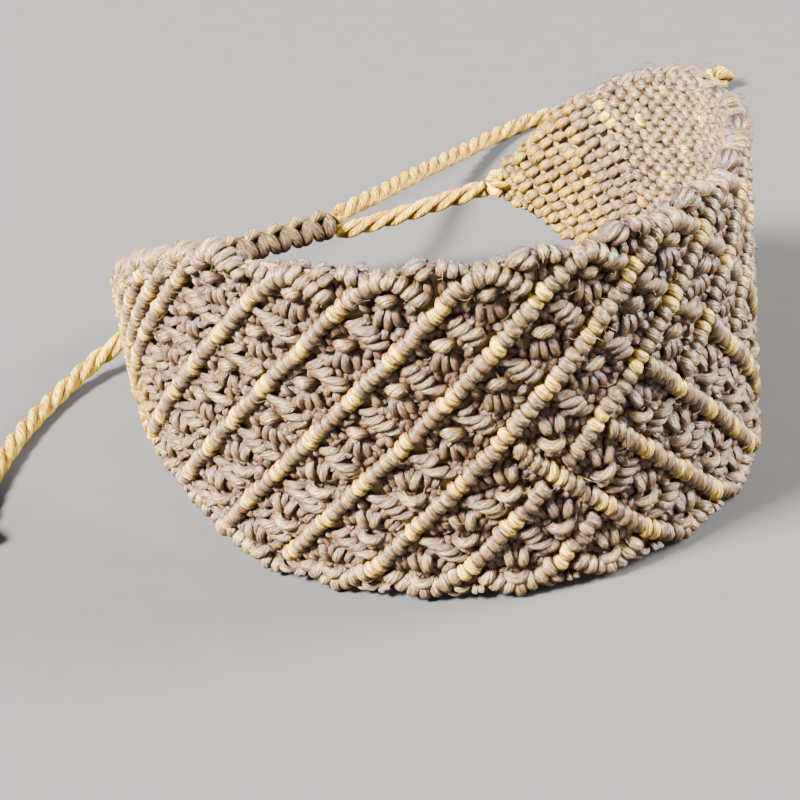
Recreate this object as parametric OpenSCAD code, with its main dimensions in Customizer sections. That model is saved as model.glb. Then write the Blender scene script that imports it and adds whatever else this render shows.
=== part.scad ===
// Adjustable bracelet knotted from waxed thread: a wide net of diamond cells with pointed cream ends,
// closed by two twisted cords that slide through a sennit of square knots. Millimetres, +Z up,
// the middle of the band faces -Y and the bracelet stands on its lower edge at z = 0.

/* [Loop] */
// Mean radius of the loop, on the tops of the ridges
loop_r = 29.7; // [26:0.1:34]
// Share by which the loop is longer than it is round
oval = 0.072; // [0:0.002:0.12]
// Direction of the long way across, degrees round from the front
oval_dir = 4; // [-20:1:20]
// Share by which one side of the loop is fuller
egg = 0.012; // [0:0.002:0.02]
// Direction of the fuller side, degrees round from the front
egg_dir = 28; // [-60:1:60]

/* [Band] */
// Width of the knotted band across its middle
band_w = 32; // [26:0.5:38]
// Length of the brown net, from one cream end to the other
net_len = 115; // [105:0.5:116]
// Length of the net and both cream ends together
band_len = 128.6; // [124:0.2:130]
// Height by which the pointed ends hang below the middle line
tip_drop = 3; // [0:0.1:4]
// Thickness of the knotted wall over a ridge
wall = 2.6; // [2:0.1:3.2]
// How far the two long edges are rounded in
edge_soft = 0.8; // [0.3:0.1:1]
// Depth of the scallops along the upper edge
scallop = 0.6; // [0:0.1:1]

/* [Net] */
// Height and length of one diamond of the net
cell = 8.3; // [7:0.1:10]
// Place along the band of one column of crossings, from the middle
net_shift = -25.5; // [-30:0.1:-20]
// Height of the uppermost row of crossings
net_top = 28.1; // [26:0.1:30]
// Width of a ridge of hitches
ridge_w = 2.6; // [2:0.1:3]
// Height of a ridge over the cells
ridge_h = 0.7; // [0.2:0.1:1]

/* [Closure] */
// Diameter of a two-ply cord
cord_d = 1.8; // [1.4:0.1:2.2]
// Length of the knot at each pointed end
tip_knot_len = 2.9; // [2.4:0.1:4]
// Diameter of the knot at each pointed end
tip_knot_d = 3.4; // [2.6:0.1:4]
// Length of the knot at the end of each loose cord
end_knot_len = 4; // [3:0.1:5]
// Diameter of the knot at the end of each loose cord
end_knot_d = 3.2; // [2.4:0.1:4]
// Height of the sliding sennit
slider_h = 3.4; // [2.8:0.1:4]
// Depth of the sliding sennit
slider_d = 3.8; // [3:0.1:5]
// Number of square knots in the sliding sennit
slider_knots = 6; // [4:1:8]

/* [Hidden] */

// The middle of the loop, from the middle of the footprint
loop_x = 0.35;
loop_y = -2;

// Gap between neighbouring pieces
gap = 0.1;

// Share of the full width that the band keeps, by distance from its middle
TAPER = [
    // [distance, share]
    [0, 1],
    [36, 1],
    [42, 0.89],
    [50, 0.70],
    [58, 0.48],
    [61.5, 0.33],
    [64.3, 0.15],
];
// The pointed ends begin to hang down at this distance from the middle
drop_from = 44;
tip_at = band_len / 2;

// The sennit's two ends and the cords' routes, laid by hand
slider_left = [-5.6, 32.1, 8.5];
slider_right = [8.4, 27.9, 8.3];

LEFT_CLOSING = [
    [-20.1, 17, 12], [-17.4, 20.6, 11], [-14.3, 24.2, 10.2], [-11, 27.8, 9.6], [-8.4, 30.7, 9.4],
    [-6.4, 32.4, 9.4]
];
RIGHT_CLOSING = [
    [20.9, 16.4, 11.9], [18.9, 18, 11.2], [16.9, 20.2, 10.2], [14.5, 22.7, 9.1], [12.2, 25, 8.2],
    [10.3, 26.7, 7.6], [9, 27.8, 7.4]
];
LEFT_TAIL = [
    [-6.3, 32.4, 7.6], [-9.9, 32.8, 6.6], [-13.3, 32.1, 4.8], [-16.7, 31.2, 3.1], [-19.8, 31.4, 2],
    [-23.4, 30.4, 1.2], [-27.2, 28.5, 0.95], [-31.4, 25.6, 0.95], [-35.6, 21.9, 0.95],
    [-39.3, 17.9, 0.95], [-42.4, 13.5, 0.95]
];
RIGHT_TAIL = [
    [9, 27.8, 9.2], [11.6, 28.8, 8.9], [14.6, 30.3, 8.2], [17.8, 32.2, 7.3], [23.1, 35.4, 5.9],
    [28.8, 38.7, 4.4], [34.5, 41.7, 3], [40, 44.3, 1.9], [44.2, 45.9, 1.2], [48.5, 46.6, 0.95],
    [52.9, 46.1, 0.95], [57.5, 44.7, 0.95], [62, 42.7, 0.95], [66.2, 40.6, 0.95], [70.3, 38.4, 1.1]
];

// Fineness of the solids
band_cols = 112;
band_rows = 26;
back_rows = 6;
panel_cols = 10;
cord_sides = 8;
knot_sides = 12;

// Outline of the loop in plan, by the angle round from the front
function plan_r(a) = loop_r * (1 + oval * cos(2 * (a - oval_dir)) + egg * cos(3 * (a - egg_dir)));
function plan_xy(a) = plan_r(a) * [sin(a), -cos(a)];

// Running length along the outline to the right and to the left of the front
right_run = [for (a = 0, s = 0; a <= 180; s = s + norm(plan_xy(a + 1) - plan_xy(a)), a = a + 1) [s, a]];
left_run = [for (a = 0, s = 0; a <= 180; s = s + norm(plan_xy(-a - 1) - plan_xy(-a)), a = a + 1) [s, a]];
function angle_at(u) = u >= 0 ? lookup(u, right_run) : -lookup(-u, left_run);

function unit(v) = v / norm(v);
function outward(a) = let(t = unit(plan_xy(a + 0.5) - plan_xy(a - 0.5))) [t.y, -t.x];

// A point of the band: u along it from the middle, z up, inset from the ridge tops
function skin(u, z, inset) =
    let(a = angle_at(u), p = plan_xy(a) - inset * outward(a))
    [p.x + loop_x, p.y + loop_y, z];

// Heights of the middle line and of the two long edges
function width_at(u) = band_w * lookup(abs(u), TAPER);
function middle_at(u) =
    let(t = max(0, (abs(u) - drop_from) / (tip_at - drop_from)))
    band_w / 2 - tip_drop * t * t;
function scallop_at(u) = scallop * (1 - cos(360 * (u - net_shift) / cell)) / 2;
function low_at(u) = middle_at(u) - width_at(u) / 2;
function high_at(u) = middle_at(u) + width_at(u) / 2 - scallop_at(u);

// Distance from a place on the band to the nearest ridge of the net
function to_ridge(across) = abs(across - round(across)) * cell / sqrt(2);
function ridge_at(u, z) =
    let(du = (u - net_shift) / cell, dz = (z - net_top) / cell,
        d = min(to_ridge(du - dz), to_ridge(du + dz)) / (ridge_w / 2))
    max(0, 1 - d * d);

// Closed solid through sections with the same number of points
module loft(sections) {
    n = len(sections[0]);
    m = len(sections);
    sides = [for (j = [0:m - 2], i = [0:n - 1], half = [0, 1])
        let(k = (i + 1) % n, a = j * n + i, b = j * n + k)
        half == 0 ? [a, b, b + n] : [a, b + n, a + n]];
    caps = [[for (i = [n - 1:-1:0]) i], [for (i = [0:n - 1]) (m - 1) * n + i]];
    polyhedron(points = [for (s = sections, p = s) p], faces = concat(sides, caps), convexity = 8);
}

// One upright section of the knotted wall, up its front and down its back
function wall_section(u, rows) =
    let(low = low_at(u), high = high_at(u), soft = min(1.6, (high - low) / 4))
    concat(
        [for (k = [0:rows])
            let(z = low + (high - low) * k / rows,
                rim = max(0, 1 - min(z - low, high - z) / soft),
                inset = edge_soft * rim * rim + ridge_h * (1 - ridge_at(u, z)))
            skin(u, z, min(inset, wall / 2 - 0.2))],
        [for (k = [back_rows:-1:0])
            let(z = low + (high - low) * k / back_rows,
                rim = (k == 0 || k == back_rows) ? 0.6 : 0)
            skin(u, z, wall - edge_soft * rim)]
    );

module wall_between(from, to, cols, rows) {
    loft([for (j = [0:cols]) wall_section(from + (to - from) * j / cols, rows)]);
}

// A round tube along a route
function route_dir(route, i) =
    unit(route[min(i + 1, len(route) - 1)] - route[max(i - 1, 0)]);
module cord(route) {
    loft([for (i = [0:len(route) - 1])
        let(t = route_dir(route, i), side = unit(cross(t, [0, 0, 1])), up = cross(side, t))
        [for (k = [0:cord_sides - 1])
            let(a = 360 * k / cord_sides)
            route[i] + cord_d / 2 * (cos(a) * side + sin(a) * up)]]);
}

// A tied knot from one point along a direction, round with three turns that show
module tied_knot(start, dir, len, d) {
    t = unit(dir);
    side = unit(cross(t, [0, 0, 1]));
    up = cross(side, t);
    rings = 8;
    loft([for (i = [0:rings])
        let(s = i / rings, r = d / 2 * (0.55 + 0.45 * sin(180 * s)))
        [for (k = [0:knot_sides - 1])
            let(a = 360 * k / knot_sides, turn = 1 - 0.08 * (1 + cos(3 * a + 200 * s)) / 2)
            start + s * len * t + r * turn * (cos(a) * side + sin(a) * up)]]);
}

module cuff_band() {
    color([0.62, 0.54, 0.43])
        wall_between(-net_len / 2 + gap, net_len / 2 - gap, band_cols, band_rows);
}

module end_panel(hand) {
    color([0.86, 0.76, 0.52])
        if (hand > 0) wall_between(net_len / 2 + gap, tip_at, panel_cols, band_rows);
        else wall_between(-tip_at, -net_len / 2 - gap, panel_cols, band_rows);
}

module tip_knot(hand, route) {
    start = skin(hand * (tip_at + 4 * gap), middle_at(tip_at), wall / 2);
    color([0.88, 0.79, 0.56])
        tied_knot(start, route[0] - start, tip_knot_len, tip_knot_d);
}

module slider_knot() {
    axis = slider_right - slider_left;
    t = unit(axis);
    side = unit(cross(t, [0, 0, 1]));
    up = cross(side, t);
    per_knot = 5;
    rings = slider_knots * per_knot;
    color([0.42, 0.38, 0.31])
        loft([for (i = [0:rings])
            let(s = i / rings, pinch = 1 - 0.1 * abs(cos(180 * i / per_knot)),
                round_end = (i == 0 || i == rings) ? 0.85 : 1)
            [for (k = [0:knot_sides - 1])
                let(a = 360 * k / knot_sides)
                slider_left + s * axis
                    + pinch * round_end * (slider_d / 2 * cos(a) * side + slider_h / 2 * sin(a) * up)]]);
}

module loose_cord(route) {
    color([0.88, 0.77, 0.50]) cord(route);
}

module end_knot(route) {
    last = len(route) - 1;
    dir = unit(route[last] - route[last - 1]);
    flat = unit([dir.x, dir.y, 0]);
    start = [route[last].x, route[last].y, end_knot_d / 2] + gap * flat;
    color([0.88, 0.79, 0.56]) tied_knot(start, flat, end_knot_len, end_knot_d);
}

cuff_band();
end_panel(-1);  // left_end_panel
end_panel(1);  // right_end_panel
tip_knot(-1, LEFT_CLOSING);  // left_tip_knot
tip_knot(1, RIGHT_CLOSING);  // right_tip_knot
slider_knot();
loose_cord(LEFT_CLOSING);  // left_closing_cord
loose_cord(RIGHT_CLOSING);  // right_closing_cord
loose_cord(LEFT_TAIL);  // left_tail_cord
loose_cord(RIGHT_TAIL);  // right_tail_cord
end_knot(LEFT_TAIL);  // left_end_knot
end_knot(RIGHT_TAIL);  // right_end_knot
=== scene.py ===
# %% [markdown]
# A wide bracelet knotted from waxed thread. Its front is a net of diamonds: every diamond is bordered
# by ridges, where one thread is wrapped again and again round another, and holds a square knot.
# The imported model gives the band's room, and everything that shows is laid over it, thread by thread:
# first the cords, then the net from its ridges to its loose fibres, and last the floor and the lamps.

# %% The frame
import bpy
import math
import random
from functools import partial
import numpy as np
from mathutils import Matrix, Vector


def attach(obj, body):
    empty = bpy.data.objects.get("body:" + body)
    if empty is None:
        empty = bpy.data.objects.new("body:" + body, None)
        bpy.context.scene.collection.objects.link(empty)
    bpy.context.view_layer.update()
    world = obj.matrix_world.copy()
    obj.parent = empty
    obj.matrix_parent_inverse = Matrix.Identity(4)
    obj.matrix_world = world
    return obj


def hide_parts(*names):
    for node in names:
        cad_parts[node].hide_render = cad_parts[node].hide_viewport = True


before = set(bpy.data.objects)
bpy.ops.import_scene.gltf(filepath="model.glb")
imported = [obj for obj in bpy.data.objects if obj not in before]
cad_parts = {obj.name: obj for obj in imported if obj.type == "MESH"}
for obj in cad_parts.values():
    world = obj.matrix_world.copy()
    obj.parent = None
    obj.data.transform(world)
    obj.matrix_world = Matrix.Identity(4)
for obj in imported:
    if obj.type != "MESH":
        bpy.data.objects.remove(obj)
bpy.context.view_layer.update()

MM = 0.001
BODY = "root"


def add_object(name, data):
    """An object for a mesh, camera or lamp, linked into the scene."""
    made = bpy.data.objects.new(name, data)
    bpy.context.collection.objects.link(made)
    return made


print("solids in the frame:", len(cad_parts))

# %% [markdown]
# The camera stands a little above the bracelet, at its left front, and is turned a few degrees, so
# the band seems to lean. A constraint could aim it, but a matrix made of the three directions right,
# up and back holds the turn as well. Distances are written in millimetres, and MM turns them into
# metres. Only the lamps and the floor, at the end, are placed in metres.

# %% Camera
VIEW_AZIMUTH, VIEW_ELEVATION, VIEW_ROLL = -31.43, 30.51, -7.47
VIEW_DISTANCE = 199.3
VIEW_LENS, SENSOR_WIDTH, NEAREST = 96.73, 36, 10
AIM = (0.35, -2.0, 17.0)
AIM_RIGHT, AIM_UP = -3.84, -11.87


def add_camera():
    """The camera, placed by its angles and turned by its roll."""
    az, el, roll = (math.radians(v) for v in (VIEW_AZIMUTH, VIEW_ELEVATION, VIEW_ROLL))
    back = Vector((math.sin(az) * math.cos(el), -math.cos(az) * math.cos(el), math.sin(el)))
    right = (-back).cross(Vector((0, 0, 1))).normalized()
    up = right.cross(-back)
    place = Vector(AIM) + right * AIM_RIGHT + up * AIM_UP + back * VIEW_DISTANCE
    rolled_right = math.cos(roll) * right + math.sin(roll) * up
    rolled_up = -math.sin(roll) * right + math.cos(roll) * up
    data = bpy.data.cameras.new("camera")
    data.lens = VIEW_LENS
    data.sensor_width = SENSOR_WIDTH
    data.clip_start = NEAREST * MM
    camera = add_object("camera", data)
    camera.matrix_world = Matrix((rolled_right, rolled_up, back)).transposed().to_4x4()
    camera.location = place * MM
    bpy.context.scene.camera = camera
    return camera


camera = add_camera()
print("camera at", [round(v, 4) for v in camera.location])

# %% [markdown]
# The band follows the same loop as the solid model: a circle with two small waves added to its
# radius, one that makes it oval and one that makes one side fuller. A point of it is given by u, the
# way along the band from its middle, z, the height, and out, the depth under the tops of the ridges.
# Knots are drawn in these flat coordinates, as on a knotting board, and then bent round the loop. A
# Curve modifier could bend a flat mesh too, but the formula also tells which way is outwards.

# %% The loop of the band
LOOP_R, OVAL, OVAL_DIR, EGG, EGG_DIR = 29.7, 0.072, 4, 0.012, 28
LOOP_X, LOOP_Y = 0.35, -2.0
BAND_W, BAND_LEN, WALL = 32, 128.6, 2.6
TIP_AT, DROP_FROM, TIP_DROP = BAND_LEN / 2, 44, 3
# Distance from the middle of the band, share of its full width
TAPER = [(0, 1), (36, 1), (42, 0.89), (50, 0.70), (58, 0.48), (61.5, 0.33), (64.3, 0.15)]

loop_turn = np.radians(np.linspace(-180, 180, 1441))
loop_radius = LOOP_R * (1 + OVAL * np.cos(2 * (loop_turn - math.radians(OVAL_DIR)))
                        + EGG * np.cos(3 * (loop_turn - math.radians(EGG_DIR))))
loop_x = loop_radius * np.sin(loop_turn)
loop_y = -loop_radius * np.cos(loop_turn)
loop_run = np.concatenate([[0], np.cumsum(np.hypot(np.diff(loop_x), np.diff(loop_y)))])
loop_run -= np.interp(0, loop_turn, loop_run)
loop_tx = np.gradient(loop_x, loop_run)
loop_ty = np.gradient(loop_y, loop_run)


def bend(flat):
    """Flat points (u, z, out) as points in space, in millimetres, with the directions along and out."""
    flat = np.asarray(flat, float)
    u, z, out = flat[..., 0], flat[..., 1], flat[..., 2]
    tx, ty = np.interp(u, loop_run, loop_tx), np.interp(u, loop_run, loop_ty)
    size = np.hypot(tx, ty)
    tx, ty = tx / size, ty / size
    x = np.interp(u, loop_run, loop_x) + out * ty + LOOP_X
    y = np.interp(u, loop_run, loop_y) - out * tx + LOOP_Y
    zero = np.zeros_like(tx)
    return np.stack([x, y, z], -1), np.stack([tx, ty, zero], -1), np.stack([ty, -tx, zero], -1)


print("the loop is", round(float(loop_run[-1] - loop_run[0]), 1), "mm round")

# %% [markdown]
# The band keeps its full width over the front and narrows towards its two points, which also hang a
# little below the middle line. Four small functions give its shape at any place, so each kind of
# knot can ask where the edges are. A thread needs a smooth path through a few points, and a
# Catmull-Rom curve gives one that passes through all of them.

# %% The shape of the band
def width_at(u):
    return BAND_W * np.interp(abs(u), *zip(*TAPER))


def middle_at(u):
    reach = np.maximum(0, (np.abs(u) - DROP_FROM) / (TIP_AT - DROP_FROM))
    return BAND_W / 2 - TIP_DROP * reach ** 2


def low_at(u):
    return middle_at(u) - width_at(u) / 2


def high_at(u):
    return middle_at(u) + width_at(u) / 2


def smooth_route(points, spacing):
    """A Catmull-Rom curve through the points, with a point every spacing millimetres."""
    p = np.asarray(points, float)
    p = np.vstack([2 * p[0] - p[1], p, 2 * p[-1] - p[-2]])
    found = []
    for a, b, c, d in zip(p[:-3], p[1:-2], p[2:-1], p[3:]):
        t = np.linspace(0, 1, 24, endpoint=False)[:, None]
        found.append(0.5 * (2 * b + (c - a) * t + (2 * a - 5 * b + 4 * c - d) * t ** 2
                            + (3 * b - a - 3 * c + d) * t ** 3))
    curve = np.vstack(found + [p[-2:-1]])
    run = np.concatenate([[0], np.cumsum(np.linalg.norm(np.diff(curve, axis=0), axis=1))])
    at = np.linspace(0, run[-1], max(2, int(run[-1] / spacing) + 1))
    return np.stack([np.interp(at, run, curve[:, k]) for k in range(3)], -1), at


print("the band stands from", round(float(low_at(0)), 1), "to", round(float(high_at(0)), 1), "mm")

# %% [markdown]
# Every thread is drawn as a row of points joined by edges, with a few numbers kept on each point:
# how thick it is, how cream or dark, how deep it lies, which sets how much shade is painted on it,
# and which way its flat side faces. Curve objects could hold the paths, but a mesh of bare edges
# carries numbers with any name, and one such mesh holds thousands of threads. Everything random is
# drawn from one seeded source.

# %% Bundles of threads
SEED = 11
# The depth in millimetres at which the painted shade of deep threads is full.
FULL_SHADE_DEPTH = 1.8
chance = random.Random(SEED)


def sway(most):
    """A random number from -most to most."""
    return chance.uniform(-most, most)


class Strands:
    """A bundle of threads that are spun together into one piece."""

    def __init__(self):
        self.points, self.edges, self.facing = [], [], []
        self.numbers = {"thick": [], "tone": [], "shade": [], "depth_shade": []}

    def lay(self, points, facing, thick, tone=0.0, depth_shade=0.0):
        first = len(self.points)
        count = len(points)
        self.points.extend(np.asarray(points) * MM)
        self.facing.extend(np.broadcast_to(facing, (count, 3)))
        self.edges.extend((first + k, first + k + 1) for k in range(count - 1))
        shade = chance.random()
        for name, value in (("thick", thick), ("tone", tone), ("shade", shade), ("depth_shade", depth_shade)):
            self.numbers[name].extend(np.broadcast_to(value, count))

    def lay_flat(self, flat, thick, tone=0.0, facing=None, face="front"):
        points, along, outward = bend(flat)
        if facing is None:
            way = -outward if face == "back" else outward
        else:
            facing = np.asarray(facing, float)
            way = along * facing[:, :1] + outward * facing[:, 2:] + np.array([0, 0, 1]) * facing[:, 1:2]
        # Depth below the ridge tops: the deeper a thread lies, the more shade the material paints on it. The
        # inner face counts from the back of the wall, and the edge gets a fixed middle depth.
        depth = -np.asarray(flat, float)[:, 2]
        if face != "front":
            depth = WALL - depth if face == "back" else 0.5 + 0 * depth
        self.lay(points, way, thick, tone, np.clip(depth / FULL_SHADE_DEPTH, 0, 1))

    def lay_leaf(self, flat, thick, tone=0.0, face="front", tip=0.3):
        """A short plump thread through a few points, drawn out thin at both ends."""
        fine, run = smooth_route(flat, 0.3)
        swell = np.maximum(0, np.sin(math.pi * run / run[-1])) ** 0.7
        self.lay_flat(fine, thick * (tip + (1 - tip) * swell), tone, face=face)

    def count(self):
        return len(self.points) - len(self.edges)

    def as_mesh(self, name):
        mesh = bpy.data.meshes.new(name)
        mesh.from_pydata([tuple(p) for p in self.points], self.edges, [])
        for key, values in self.numbers.items():
            layer = mesh.attributes.new(key, "FLOAT", "POINT")
            layer.data.foreach_set("value", np.asarray(values, np.float32))
        layer = mesh.attributes.new("facing", "FLOAT_VECTOR", "POINT")
        layer.data.foreach_set("vector", np.asarray(self.facing, np.float32).ravel())
        return mesh


print("numbers kept on each point:", ", ".join(Strands().numbers))

# %% [markdown]
# Shapes and materials are both made by trees of nodes. Each node has settings, and inputs that take a
# value or a link. Adding them one by one takes many lines, so one helper does all of it for a node,
# and a second one adds a step of arithmetic. Both work in any kind of tree.

# %% Helpers for nodes
def add_node(tree, kind, inputs=None, **settings):
    """A node with its settings. Each input gets a value, or a link if the value is a socket."""
    made = tree.nodes.new(kind)
    for key, value in settings.items():
        setattr(made, key, value)
    for socket, value in (inputs or {}).items():
        if isinstance(value, bpy.types.NodeSocket):
            tree.links.new(value, made.inputs[socket])
        else:
            made.inputs[socket].default_value = value
    return made


def add_math(tree, operation, *values):
    """The result of one step of arithmetic on sockets or numbers."""
    return add_node(tree, "ShaderNodeMath", dict(enumerate(values)), operation=operation).outputs[0]


print("helpers for nodes: add_node, add_math")

# %% [markdown]
# One tree of nodes spins round thread along all the paths. A curve with a bevel could do it too, but
# the tree lets each thread swell and thin, presses it flat where it lies on its ridge, and stores the
# way along it and round it as a map, which the fibres of the material follow.

# %% The spinner's nodes
SEAM_JUMP = 0.3


def make_spinner():
    """A tree that turns edges with a thickness into thread with a map and a material."""
    tree = bpy.data.node_groups.new("thread_spinner", "GeometryNodeTree")
    node, calculate = partial(add_node, tree), partial(add_math, tree)
    sockets = {}
    for label, kind in (("Threads", "Geometry"), ("Sides", "Int"), ("Ring spacing", "Float"),
                        ("Flatness", "Float"), ("Material", "Material")):
        item = tree.interface.new_socket(name=label, in_out="INPUT", socket_type="NodeSocket" + kind)
        sockets[label] = item.identifier
    tree.interface.new_socket(name="Thread", in_out="OUTPUT", socket_type="NodeSocketGeometry")

    def read(name, kind="FLOAT"):
        return node("GeometryNodeInputNamedAttribute", {"Name": name}, data_type=kind).outputs["Attribute"]

    entry = node("NodeGroupInput").outputs
    curve = node("GeometryNodeMeshToCurve", {"Mesh": entry["Threads"]})
    smooth = node("GeometryNodeCurveSplineType", {"Curve": curve.outputs[0]}, spline_type="CATMULL_ROM")
    even = node("GeometryNodeResampleCurve", {"Curve": smooth.outputs[0], "Length": entry["Ring spacing"]},
                mode="LENGTH")
    facing = node("GeometryNodeSetCurveNormal",
                  {"Curve": even.outputs[0], "Normal": read("facing", "FLOAT_VECTOR")}, mode="FREE")
    way = node("GeometryNodeSplineParameter")
    along = node("GeometryNodeStoreNamedAttribute",
                 {"Geometry": facing.outputs[0], "Name": "along", "Value": way.outputs["Length"]},
                 data_type="FLOAT", domain="POINT")
    ring = node("GeometryNodeCurvePrimitiveCircle", {"Resolution": entry["Sides"], "Radius": MM})
    squeeze = node("ShaderNodeCombineXYZ", {"X": entry["Flatness"], "Y": 1.0, "Z": 1.0})
    pressed = node("GeometryNodeTransform", {"Geometry": ring.outputs["Curve"], "Scale": squeeze.outputs[0]})
    round_way = node("GeometryNodeSplineParameter")
    around = node("GeometryNodeStoreNamedAttribute",
                  {"Geometry": pressed.outputs[0], "Name": "around", "Value": round_way.outputs["Factor"]},
                  data_type="FLOAT", domain="POINT")
    tube = node("GeometryNodeCurveToMesh",
                {"Curve": along.outputs[0], "Profile Curve": around.outputs[0], "Scale": read("thick"),
                 "Fill Caps": True})
    # At the seam of the map, corners that would jump back to 0 go on to 1
    here = read("around")
    face_mean = node("GeometryNodeFieldOnDomain", {"Value": here}, data_type="FLOAT", domain="FACE")
    behind = calculate("SUBTRACT", face_mean.outputs[0], here)
    whole = calculate("ADD", here, calculate("GREATER_THAN", behind, SEAM_JUMP))
    length = calculate("DIVIDE", read("along"), MM)
    pair = node("ShaderNodeCombineXYZ", {"X": length, "Y": whole})
    mapped = node("GeometryNodeStoreNamedAttribute",
                  {"Geometry": tube.outputs[0], "Name": "UVMap", "Value": pair.outputs[0]},
                  data_type="FLOAT2", domain="CORNER")
    soft = node("GeometryNodeSetShadeSmooth", {0: mapped.outputs[0]})
    real = node("GeometryNodeRealizeInstances", {"Geometry": soft.outputs[0]})
    finish = node("GeometryNodeSetMaterial", {"Geometry": real.outputs[0], "Material": entry["Material"]})
    node("NodeGroupOutput", {"Thread": finish.outputs[0]})
    return tree, sockets


spinner, spinner_inputs = make_spinner()
print("the spinner has", len(spinner.nodes), "nodes")

# %% [markdown]
# To use the tree, a modifier that holds it is put on the paths, and its inputs are set by their
# identifiers. The evaluated result is then copied into a plain mesh, and the paths are deleted, so
# the finished piece has no modifier left and no instances.

# %% Spinning a bundle
def spin(name, strands, material, sides=8, spacing=0.38, flatness=0.9):
    """One piece of real mesh from a bundle of threads."""
    holder = add_object(name + "_paths", strands.as_mesh(name + "_paths"))
    modifier = holder.modifiers.new("spinner", "NODES")
    modifier.node_group = spinner
    for label, value in (("Sides", sides), ("Ring spacing", spacing * MM), ("Flatness", flatness),
                         ("Material", material)):
        modifier[spinner_inputs[label]] = value
    graph = bpy.context.evaluated_depsgraph_get()
    mesh = bpy.data.meshes.new_from_object(holder.evaluated_get(graph))
    mesh.name = name
    bpy.data.objects.remove(holder)
    mesh.calc_loop_triangles()
    print(name, "threads", strands.count(), "triangles", len(mesh.loop_triangles))
    return add_object(name, mesh)


print("the spinner's inputs:", ", ".join(spinner_inputs))

# %% [markdown]
# Colours are written as they look on a screen, the way the photograph shows them, and turned into
# the renderer's own values. A new material starts from the Principled shader, and the same helper as
# above adds its nodes.

# %% Colours and materials
def colour(red, green, blue):
    """A colour given as it looks on a screen, 0 to 255, in the renderer's own linear values."""
    return [((v / 255 + 0.055) / 1.055) ** 2.4 for v in (red, green, blue)] + [1]


def new_material(name):
    """A material, its shader, and a function that adds nodes to it."""
    material = bpy.data.materials.new(name)
    material.use_nodes = True
    return material, material.node_tree.nodes["Principled BSDF"], partial(add_node, material.node_tree)


print("a middle grey of 128 is", round(colour(128, 128, 128)[0], 3), "to the renderer")

# %% [markdown]
# Waxed thread has a soft gloss and fine fibres that run along it in a slow twist. A picture of
# fibres could be wrapped round it, but a noise that is stretched along the thread never repeats. One
# material makes all colours of the net: the number "tone" on each thread turns it from taupe (0) to
# cream (1) and gold (2), "shade" makes every thread a little different, and painted shade darkens
# what lies deep between the knots and the under side of every thread. All these colours are
# multiplied together.

# %% Thread materials
FIBRE_LENGTH, FIBRES_ROUND, FIBRE_LEAN, FIBRE_SHIFT = 0.9, 15.0, 0.12, 37.0
STREAK, CLEAR = (84, 62, 46), (255, 252, 246)
REDDER, GREENER = (206, 194, 174), (248, 255, 224)
DEPTH_SHADE_TINT = (172, 132, 104)
BUMP_STRENGTH, BUMP_DEPTH = 0.8, 0.34


def thread_material(name, plain, accent, gold=None, roughness=0.42, underside_shade=(108, 80, 58), gloss=0.45):
    """Thread from a plain colour, an accent and, if it has one, a gold. One darker colour is painted shade
    on its under side and flanks.
    """
    material, shader, node = new_material(name)
    calculate = partial(add_math, material.node_tree)

    def number(key):
        return node("ShaderNodeAttribute", attribute_name=key).outputs["Fac"]

    def ramp(source, low, high, start, end):
        return node("ShaderNodeMapRange", {"Value": source, "From Min": low, "From Max": high,
                                           "To Min": start, "To Max": end}).outputs["Result"]

    def blend(kind, factor, first, second):
        return node("ShaderNodeMix", {0: factor, 6: first, 7: second}, data_type="RGBA",
                    blend_type=kind).outputs[2]

    # The map is moved along by another amount on each thread, and leans, which twists the fibres
    uv = node("ShaderNodeUVMap", uv_map="UVMap")
    split = node("ShaderNodeSeparateXYZ", {0: uv.outputs["UV"]})
    shifted = calculate("MULTIPLY_ADD", number("shade"), FIBRE_SHIFT, split.outputs["X"])
    lean = calculate("MULTIPLY_ADD", split.outputs["X"], FIBRE_LEAN, split.outputs["Y"])
    joined = node("ShaderNodeCombineXYZ", {"X": shifted, "Y": lean})
    twist = node("ShaderNodeMapping", {"Vector": joined.outputs[0],
                                       "Scale": (FIBRE_LENGTH, FIBRES_ROUND, 1)})
    fibre = node("ShaderNodeTexNoise", {"Vector": twist.outputs[0], "Scale": 1.0, "Detail": 3.0,
                                        "Roughness": 0.65}).outputs["Fac"]

    base = blend("MIX", number("tone"), colour(*plain), colour(*accent))
    base = blend("MIX", ramp(number("tone"), 1, 2, 0, 1), base, colour(*(gold or accent)))
    streaks = blend("MIX", ramp(fibre, 0.40, 0.70, 0, 1), colour(*STREAK), colour(*CLEAR))
    lit = blend("MULTIPLY", 1.0, base, streaks)
    varied = blend("MULTIPLY", 1.0, lit, blend("MIX", number("shade"), colour(*REDDER), colour(*GREENER)))
    # Painted shade: threads that lie deep between the knots are darkened towards a shade colour.
    deep = blend("MULTIPLY", ramp(number("depth_shade"), 0.27, 0.70, 0, 1), varied, colour(*DEPTH_SHADE_TINT))
    # Round the thread, the map runs from its top (0) past its hidden under side (0.5) back to the top
    under = calculate("PINGPONG", split.outputs["Y"], 0.5)
    # Painted shade on the under side and flanks of every thread, which also draws dark lines in the creases
    # between turns.
    under_shaded = blend("MULTIPLY", ramp(under, 0.08, 0.28, 0, 1), deep, colour(*underside_shade))
    bump = node("ShaderNodeBump", {"Height": fibre, "Strength": BUMP_STRENGTH,
                                   "Distance": BUMP_DEPTH * MM})
    dulled = ramp(fibre, 0.3, 0.7, roughness + 0.13, roughness - 0.07)
    for socket, source in (("Base Color", under_shaded), ("Roughness", dulled), ("Normal", bump.outputs[0])):
        material.node_tree.links.new(source, shader.inputs[socket])
    shader.inputs["Specular IOR Level"].default_value = gloss
    return material


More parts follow.
